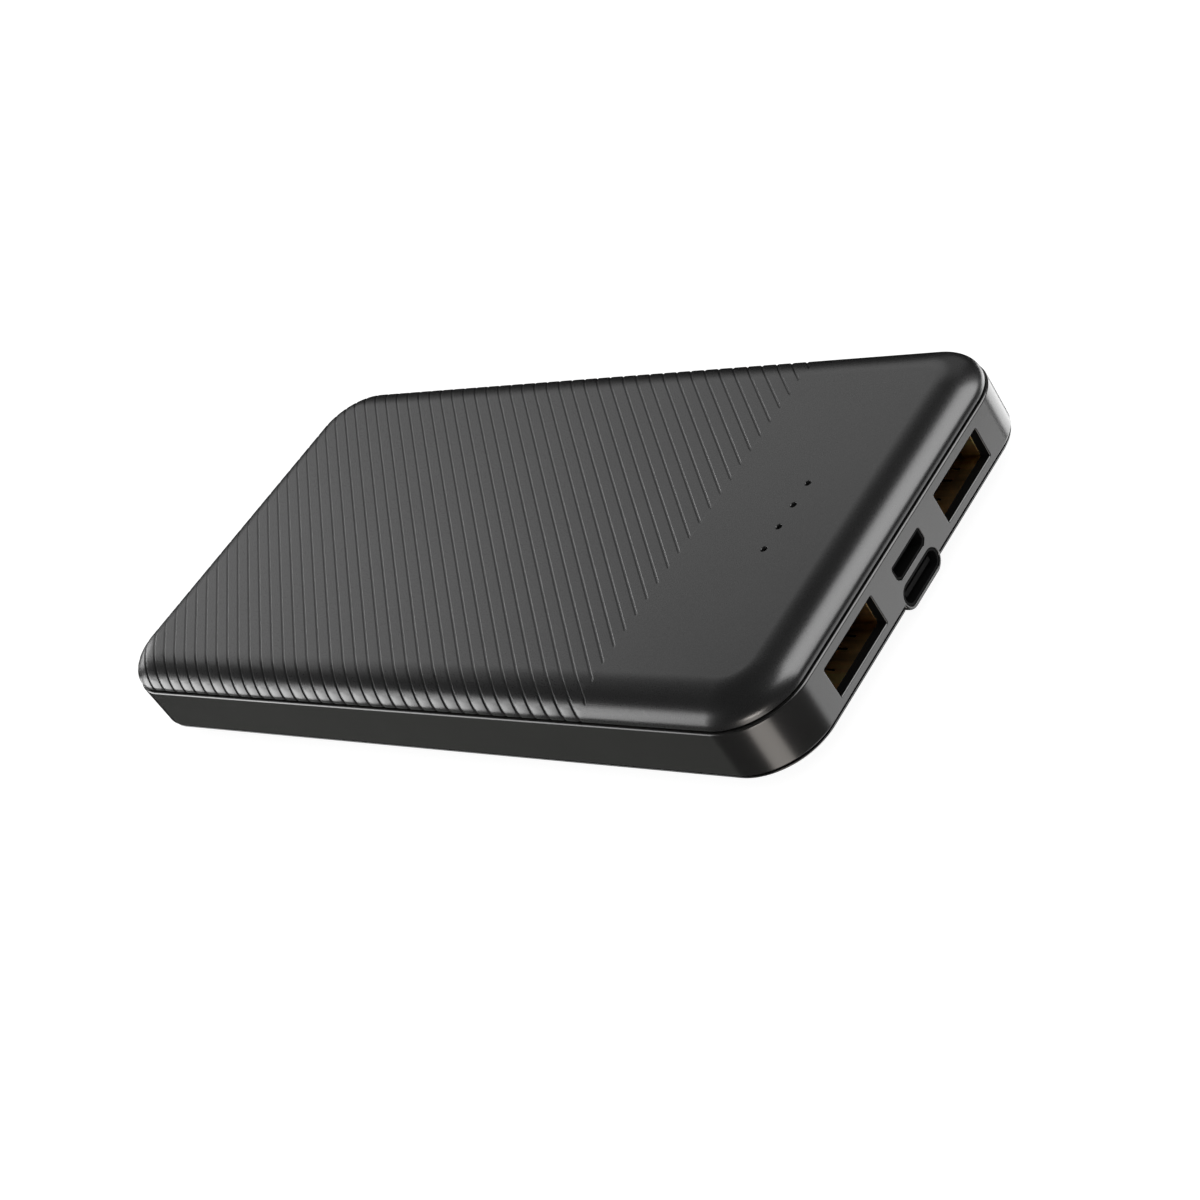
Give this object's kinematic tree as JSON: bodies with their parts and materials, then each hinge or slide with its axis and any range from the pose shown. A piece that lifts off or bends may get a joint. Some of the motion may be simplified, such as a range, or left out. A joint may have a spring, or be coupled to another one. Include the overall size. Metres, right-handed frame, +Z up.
{
  "type": "power bank",
  "caption": "Slim rectangular power bank: pillow-edged covers with fine diagonal grooves, a middle frame with USB sockets in one end, and a side key that wakes the charge lights.",
  "frame": {"origin": "on the underside's flat face, under the middle of the object's outline", "axes": "+X along the length towards the socket end, +Y across the width towards the side with the key, +Z up through the thickness"},
  "size_m": [0.136, 0.0684, 0.0151],
  "materials": {
    "cover": "satin, very fine grain",
    "frame": "semi-gloss dark",
    "key": "semi-gloss dark",
    "socket_shell": "plated, warm dark reflections",
    "insulator": "moulded black",
    "contact": "gold plated",
    "cell_film": "laminated foil",
    "tape": "amber polyimide film",
    "nickel": "nickel strip",
    "red_lead": "silicone insulation",
    "black_lead": "silicone insulation",
    "foam": "closed-cell foam",
    "board": "green solder mask",
    "ferrite": "pressed ferrite",
    "chip": "moulded epoxy",
    "ceramic": "sintered ceramic",
    "led_body": "moulded white",
    "light_guide": "clear acrylic",
    "steel": "bright zinc plate"
  },
  "bodies": {
    "case": {"top_cover": "cover", "bottom_cover": "cover", "middle_frame": "frame", "usb_a_left_shell": "socket_shell", "usb_a_right_shell": "socket_shell", "micro_usb_shell": "socket_shell", "usb_c_shell": "socket_shell", "usb_a_left_insulator": "insulator", "usb_a_right_insulator": "insulator", "micro_usb_insulator": "insulator", "usb_c_insulator": "insulator", "usb_a_left_contact_1": "contact", "usb_a_left_contact_2": "contact", "usb_a_left_contact_3": "contact", "usb_a_left_contact_4": "contact", "usb_a_right_contact_1": "contact", "usb_a_right_contact_2": "contact", "usb_a_right_contact_3": "contact", "usb_a_right_contact_4": "contact", "battery_cell": "cell_film", "cell_seal": "cell_film", "cell_tape": "tape", "tab_positive": "nickel", "tab_negative": "nickel", "lead_positive": "red_lead", "lead_negative": "black_lead", "foam_pad_lower": "foam", "foam_pad_upper": "foam", "circuit_board": "board", "power_inductor": "ferrite", "power_chip": "chip", "controller_chip": "chip", "protection_chip": "chip", "sense_resistor": "chip", "capacitor_1": "ceramic", "capacitor_2": "ceramic", "capacitor_3": "ceramic", "capacitor_4": "ceramic", "led_1": "led_body", "led_2": "led_body", "led_3": "led_body", "led_4": "led_body", "light_guide": "light_guide", "board_screw_1": "steel", "board_screw_2": "steel", "board_screw_3": "steel", "board_screw_4": "steel", "key_switch_body": "insulator", "key_switch_dome": "steel"},
    "key": {"power_key": "key"},
    "switch_plunger": {"key_switch_plunger": "led_body"}
  },
  "joints": [
    {"name": "power_key_press", "type": "slide", "parent": "case", "child": "key", "axis": [0, -1, 0], "range_m": [0, 0.0003], "stiffness_N_per_m": 6000},
    {"name": "switch_press", "type": "slide", "parent": "case", "child": "switch_plunger", "axis": [0, -1, 0], "range_m": [0, 0.0003]}
  ],
  "couplings": [
    {"joint": "switch_press", "follows": "power_key_press", "ratio": 1}
  ]
}
